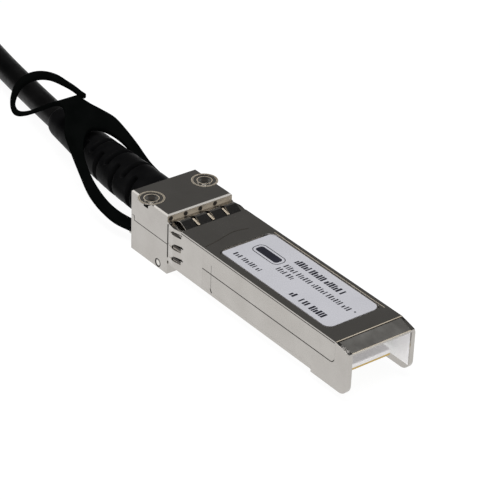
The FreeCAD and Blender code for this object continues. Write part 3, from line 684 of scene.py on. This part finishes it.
# Thin cream strips on the cover's front fold and the label recess's far edge: painted highlights.
COVER_FOLD = ((44.1, -6.6), (44.1, 6.6), (44.3, 6.6), (44.3, -6.6))
LABEL_EDGE_HIGHLIGHT = ((12.6, 5.92), (12.6, 6.02), (40.8, 6.02), (40.8, 5.92))
ROOF_FACE = ((44.5, -6.25, 8.475), (44.5, 6.15, 8.475), (47.22, 5.9, 7.79), (47.22, -5.95, 7.79))
# Cream strip along the nose's front edge: painted highlight.
ROOF_EDGE = ((47.22, 7.79), (47.34, 7.73))
ROOF_EDGE_ENDS = (-5.95, 5.9)
# Pale glowing sheets on the mouth's inner walls: painted reflection.
MOUTH_WALL = ((40.5, 1.2), (47.2, 1.2), (47.2, 7.2), (40.5, 7.9))
MOUTH_HALF = 5.93
TRAY_EDGE = ((5.6, 0.0), (6.2, 0.0), (6.7, 0.5), (6.7, 1.1))
TRAY_REACH = (0.45, 38.6)
# Cream band on the head's front face: painted reflection.
FRONT_REFLECTION = ((-6.65, 8.5), (6.65, 8.5), (6.65, 9.5), (-6.65, 9.5))
FRONT_BAND_X = 0.03
CARD_HALF = 4.6
CARD_FRONT = 44.33
CARD_GOLD = (2.08, 2.42)
# Glowing patch on the card's front edge and top: painted reflection.
CARD_GLOW_PATCH = ((44.325, 2.42), (44.325, 3.1), (44.2, 3.2), (41.0, 3.2))


def ribbon(points, faces, row, width, across):
    """A flat strip of even width along a row of (x, z) points on the side plane y = across."""
    base = len(points)
    for k, (x, z) in enumerate(row):
        (x0, z0), (x1, z1) = row[max(k - 1, 0)], row[min(k + 1, len(row) - 1)]
        size = math.hypot(x1 - x0, z1 - z0)
        ox, oz = -(z1 - z0) / size * width / 2, (x1 - x0) / size * width / 2
        points += [(x + ox, across, z + oz), (x - ox, across, z - oz)]
    for k in range(len(row) - 1):
        a = base + 2 * k
        faces.append((a, a + 1, a + 3, a + 2))


def ellipse(x, z, rx, rz, steps=20):
    turns = [2 * math.pi * k / steps for k in range(steps)]
    return [(x + rx * math.cos(a), z + rz * math.sin(a)) for a in turns]


def add_label(prefix, place):
    x0, x1, y0, y1 = LABEL_OUTLINE
    rear, front = LABEL_CORNERS
    outline = []
    for cx, cy, r, first in ((x1 - front, y1 - front, front, 0), (x0 + rear, y1 - rear, rear, 90),
                             (x0 + rear, y0 + rear, rear, 180), (x1 - front, y0 + front, front, 270)):
        for k in range(LABEL_CORNER_STEPS + 1):
            a = math.radians(first + k * 90 / LABEL_CORNER_STEPS)
            outline.append((cx + r * math.cos(a), cy + r * math.sin(a)))
    n = len(outline)
    points = [(x, y, z) for z in (LABEL_BOTTOM, LABEL_TOP) for x, y in outline]
    faces = [tuple(range(n, 2 * n)), tuple(reversed(range(n)))]
    faces += [(k, (k + 1) % n, n + (k + 1) % n, n + k) for k in range(n)]
    mesh = moved(mesh_of(prefix + "label_film", points, faces, False), place)
    new_piece(prefix + "label_film", mesh, "label_foil", "cable", prefix + "label")


def fine_piece(name, points, faces, place, material):
    """A piece too fine for the solids, in a material of its own."""
    made = new_piece(name, moved(mesh_of(name, points, faces, False), place), "nickel_shell", "cable")
    made.data.materials[0] = material


def add_dark_lines(prefix, place):
    """Dark seams on the sides, the head's front and the cover, and painted shade in the side slots, over the
    finger gaps and where the head meets the body.
    """
    points, faces = [], []
    for side in (-1, 1):
        for width, row in SIDE_LINES:
            ribbon(points, faces, row, width, side * (HALF_WIDTH + PROUD))
        for x0, x1, z in SIDE_SLOT_SHADES:
            base = len(points)
            lens = ellipse((x0 + x1) / 2, z, (x1 - x0) / 2, LENS_HALF_HEIGHT)
            points += [(x, side * (HALF_WIDTH + LENS_STAND - LENS_SLOPE * (x - x0)), z) for x, z in lens]
            faces.append(tuple(range(base, len(points))))
        x, z, outer, inner = PIN_MARK
        base = len(points)
        n = 28
        rings = ellipse(x, z, outer, outer, n) + ellipse(x, z, inner, inner, n)
        points += [(a, side * (HALF_WIDTH + 0.014), b) for a, b in rings]
        faces += [(base + k, base + (k + 1) % n, base + n + (k + 1) % n, base + n + k) for k in range(n)]
    x, z, radius = GAP_SHADE_DOT
    for y in GAPS:
        base = len(points)
        points += [(x, a, b) for a, b in ellipse(y, z, radius, radius)]
        faces.append(tuple(range(base, len(points))))
    for width, row in TOP_LINES:
        base = len(points)
        for x, y in row:
            points += [(x - width / 2, y, BODY_TOP + PROUD), (x + width / 2, y, BODY_TOP + PROUD)]
        for k in range(len(row) - 1):
            a = base + 2 * k
            faces.append((a, a + 1, a + 3, a + 2))
    fine_piece(prefix + "dark_lines", points, faces, place, FINE["gap"])


def add_lines(prefix, place):
    """Seams, gaps and folded edges that are too fine for the solids, with cream painted highlights on the
    folds, the nose's edge and the head's front, and pale glowing patches in the mouth as painted reflection.
    """
    add_dark_lines(prefix, place)
    # Cream strips on the cover's fold and the label's edge: painted highlights.
    points = [(x, y, BODY_TOP + 0.015) for x, y in COVER_FOLD]
    points += [(x, y, BODY_TOP + 0.013) for x, y in LABEL_EDGE_HIGHLIGHT]
    fine_piece(prefix + "cover_folds", points, [(0, 1, 2, 3), (4, 5, 6, 7)], place, FINE["painted_highlight"])
    fine_piece(prefix + "nose_roof_face", ROOF_FACE, [(0, 1, 2, 3)], place, FINE["grain"])
    points = [(x, y, z) for y in ROOF_EDGE_ENDS for x, z in ROOF_EDGE]
    fine_piece(prefix + "nose_roof_edge", points, [(0, 1, 3, 2)], place, FINE["painted_highlight"])
    # Glowing sheets on the mouth's walls: painted reflection of the pale floor.
    points = [(x, y, z) for y in (-MOUTH_HALF, MOUTH_HALF) for x, z in MOUTH_WALL]
    fine_piece(prefix + "mouth_wall_glow", points, [(0, 1, 2, 3), (4, 5, 6, 7)], place, FINE["pale"])
    points, faces = [], []
    for side in (-1, 1):
        a = len(points)
        points += [(x, side * y, z) for x in TRAY_REACH for y, z in TRAY_EDGE]
        faces += [(a, a + 1, a + 5, a + 4), (a + 1, a + 2, a + 6, a + 5), (a + 2, a + 3, a + 7, a + 6),
                  (a, a + 3, a + 2, a + 1)]
    fine_piece(prefix + "tray_edges", points, faces, place, MATERIALS["nickel_shell"])

    # Cream band and gap quads on the head's front: painted reflection and highlight.
    points = [(FRONT_BAND_X, y, z) for y, z in FRONT_REFLECTION]
    faces = [(0, 1, 2, 3)]
    (x0, z0), (x1, z1) = GAP_FLOOR_HIGHLIGHT
    low, high = GAP_SIDES
    for y in GAPS[1:]:
        base = len(points)
        points += [(x0, y + low, z0), (x0, y + high, z0), (x1, y + high, z1), (x1, y + low, z1)]
        faces.append(tuple(range(base, base + 4)))
    fine_piece(prefix + "head_front_band", points, faces, place, FINE["painted_highlight"])

    low, high = CARD_GOLD
    points = [(CARD_FRONT, y, z) for y, z in ((-CARD_HALF, low), (CARD_HALF, low), (CARD_HALF, high),
                                              (-CARD_HALF, high))]
    fine_piece(prefix + "card_gold_edge", points, [(0, 1, 2, 3)], place, FINE["gold"])
    # Glowing patch on the card: painted reflection.
    points = [(x, y, z) for y in (-CARD_HALF, CARD_HALF) for x, z in CARD_GLOW_PATCH]
    faces = [(0, 1, 5, 4), (1, 2, 6, 5), (2, 3, 7, 6)]
    fine_piece(prefix + "card_painted_reflection", points, faces, place, FINE["pale"])


# ---------------------------------------------------------------- screws
SCREW_BACK = 6.3
SCREW_OFFSET = 5.55
HEAD_TOP = 9.77
# Radius, and height over the head's top.
SCREW_RIM = ((2.36, -0.06), (2.34, 0.02), (2.1, 0.02), (2.06, -0.04), (1.46, -0.04), (1.4, -0.08))
SCREW_HEAD = ((1.42, -0.4), (1.41, -0.03), (1.38, 0.01), (0.96, 0.01), (0.92, -0.02), (0.0001, -0.02))
# Dark disc over the screw's socket: painted shade.
SCREW_SOCKET_SHADE = ((0.6, -0.01), (0.0001, -0.01))
# Thin cream rings on the rim and head: painted highlights.
SCREW_HIGHLIGHT_RINGS = (((2.3, 0.03), (2.2, 0.03)), ((2.08, 0.03), (2.0, 0.03)), ((1.36, 0.03), (1.24, 0.03)))


def add_screws(prefix, place):
    """Each screw in its well, with thin cream rings of painted highlight and a dark disc of painted shade for
    the socket, that show from above.
    """
    for side, name in ((-1, "left"), (1, "right")):
        centre = (-SCREW_BACK, side * SCREW_OFFSET)
        parts = [(f"rim_{name}", "rim", SCREW_RIM, "nickel_shell", None, ()),
                 (f"head_{name}", "screw", SCREW_HEAD, "screw_steel", None, (f"{prefix}cover_screw_{name}",))]
        parts += [(f"ring_{name}_{k}", "ring", ring, "screw_steel", FINE["painted_highlight"], ())
                  for k, ring in enumerate(SCREW_HIGHLIGHT_RINGS)]
        parts.append((f"socket_{name}", "socket", SCREW_SOCKET_SHADE, "screw_steel", FINE["gap"], ()))
        for kind, mesh_name, profile, slot, material, nodes in parts:
            raised = [(r, HEAD_TOP + z) for r, z in profile]
            made = turned(f"{prefix}screw_{kind}", mesh_name, raised, centre, place, slot, *nodes)
            if material:
                made.data.materials[0] = material


def add_springs(prefix):
    """Each slider spring as its own copy of the CAD spring's mesh, in spring steel, in place of the CAD node.
    """
    for side in ("left", "right"):
        node = f"{prefix}slider_spring_{side}"
        piece = new_piece(node + "_folded", frame["nodes"][node].data.copy(), "spring_steel", "cable", node)
        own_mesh(piece)


# ---------------------------------------------------------------- coil ties
TIE_ANGLES = (108.0, 252.0)
TIE_WIDTH = 12.0
TIE_EDGE = 0.5
TIE_PROUD = 0.75


def strap_loop(half, height, proud):
    """Section of the strap: a rounded box round the turns, that far outside them."""
    low = 0.8 - proud
    wide, top = half + proud, height + proud
    corner = 0.9 - proud * 0.7
    loop = [(wide, low + 3), (wide, height - 3), (half - corner, height - corner), (half - 3, top),
            (3 - half, top), (corner - half, height - corner), (-wide, height - 3), (-wide, low + 3),
            (corner - half, low + 0.9),
            (3 - half, low), (half - 3, low), (half - corner, low + 0.9), (wide, low + 3)]
    return [tuple(p) for p in smooth_row(loop, 5)[:-1]]


def add_ties():
    half = (COIL_COLUMNS - 1) * COIL_PITCH / 2 + CORD_RADIUS
    height = (COIL_ROWS - 1) * COIL_PITCH + 2 * CORD_RADIUS
    points, faces = [], []
    for angle in TIE_ANGLES:
        inner = strap_loop(half, height, 0.0)
        outer = strap_loop(half, height, TIE_PROUD)
        base = len(points)
        n = len(inner)
        turn = math.radians(angle)
        widths = (-TIE_WIDTH / 2, -TIE_WIDTH / 2 + TIE_EDGE, TIE_WIDTH / 2 - TIE_EDGE, TIE_WIDTH / 2)
        loops = [(inner, w) for w in widths] + [(outer, w) for w in reversed(widths)]
        for loop, y in loops:
            for r, z in loop:
                x = COIL_MEAN + r
                points.append((COIL_CENTRE[0] + x * math.cos(turn) - y * math.sin(turn),
                               COIL_CENTRE[1] + x * math.sin(turn) + y * math.cos(turn), z))
        rows = len(loops)
        for row in range(rows):
            for i in range(n):
                j = (i + 1) % n
                below = base + ((row + 1) % rows) * n
                faces.append((base + row * n + i, base + row * n + j, below + j, below + i))
    mesh = mesh_of("coil_straps", points, faces)
    mesh.transform(Matrix.Scale(MM, 4))
    mesh.set_sharp_from_angle(angle=math.radians(50))
    return new_piece("coil_straps", mesh, "tie_hook_loop", "cable", "coil_ties")


# ---------------------------------------------------------------- light and floor
def softbox(name, at, size, power, colour=(1, 1, 1)):
    data = bpy.data.lights.new(name, "AREA")
    data.shape = "RECTANGLE"
    data.size, data.size_y = size
    data.energy = power
    data.color = colour
    light = bpy.data.objects.new(name, data)
    light.location = at
    light.rotation_euler = (Vector((0, 0, 0)) - Vector(at)).to_track_quat("-Z", "Y").to_euler()
    bpy.context.scene.collection.objects.link(light)


def add_light():
    scene = bpy.context.scene
    scene.view_settings.view_transform = "Standard"
    world = bpy.data.worlds.new("studio")
    world.use_nodes = True
    sky = world.node_tree.nodes["Background"]
    sky.inputs["Color"].default_value = (0.95, 0.97, 1.0, 1)
    sky.inputs["Strength"].default_value = 0.03
    scene.world = world
    softbox("overhead", (0.12, -0.16, 0.7), (0.5, 0.4), 5.1)
    softbox("left", (-0.45, -0.36, 0.38), (0.3, 0.25), 0.4)
    softbox("right", (0.36, 0.38, 0.47), (0.3, 0.25), 0.3)
    softbox("back panel", (-0.75, 0.6, 0.5), (1.1, 0.8), 0.28, (1.0, 0.985, 0.95))


FLOOR_HALF = 6
FLOOR_GLOW = 0.95


def add_floor():
    """A plain pale floor that also gives off light, as a lit white sweep does."""
    shader = Shader("floor", Roughness=0.9)
    shader.colour(shader.ramp(shader.noise(0.002, 1), ((0.3, (0.10, 0.10, 0.10)), (0.7, (0.11, 0.11, 0.11)))))
    shader.main.inputs["Specular IOR Level"].default_value = 0.0
    shader.main.inputs["Emission Color"].default_value = (1, 1, 1, 1)
    shader.main.inputs["Emission Strength"].default_value = FLOOR_GLOW
    corners = [(x * FLOOR_HALF, y * FLOOR_HALF, 0) for x, y in ((-1, -1), (1, -1), (1, 1), (-1, 1))]
    mesh = mesh_of("floor", corners, [(0, 1, 2, 3)], False)
    mesh.materials.append(shader.material)
    floor = bpy.data.objects.new("floor", mesh)
    floor.location.z = -0.0001
    bpy.context.scene.collection.objects.link(floor)


# ---------------------------------------------------------------- the whole cable
add_camera()
MATERIALS = make_materials()
cord, cord_line = add_cord()
slots = {entry["node"]: entry["material_slot"] for entry in frame["record"]["subparts"]}
for node, piece in frame["nodes"].items():
    for slot in piece.material_slots:
        slot.material = MATERIALS[slots[node]]

FINE = {
    # Dark seams, and painted shade in slots, gaps, the head's join and the screw sockets.
    "gap": moulded("gap", (0.02, 0.016, 0.012), (0.035, 0.028, 0.022), 0.6, 0.002, 6),
    # Cream painted highlight and painted reflection.
    "painted_highlight": moulded("painted_highlight_cream", (0.47, 0.40, 0.31), (0.64, 0.57, 0.46), 0.5, 0.01, 2),
    "gold": moulded("gold_edge", (0.75, 0.50, 0.12), (0.85, 0.60, 0.18), 0.4, 0.002, 6),
    # Pale glow: painted reflection in the plug's mouth.
    "pale": card_painted_reflection(),
    "grain": moulded("cast_grain", (0.07, 0.066, 0.06), (0.15, 0.145, 0.135), 0.6, 0.03, 9),
}
dressed = {}
for prefix, place in PLUGS.items():
    line = cord_line if prefix == "" else cord_line[::-1]
    dressed[prefix] = [add_boot(prefix, line), add_tab(prefix, place),
                       edged_copy(prefix + "lower_shell", EDGE_WIDTH, place),
                       edged_copy(prefix + "upper_shell", EDGE_WIDTH)]
    add_label(prefix, place)
    add_print(prefix, place)
    add_lines(prefix, place)
    add_screws(prefix, place)
    add_springs(prefix)
on_cord = [add_ties(), *dressed["far_"]]
add_light()
add_floor()
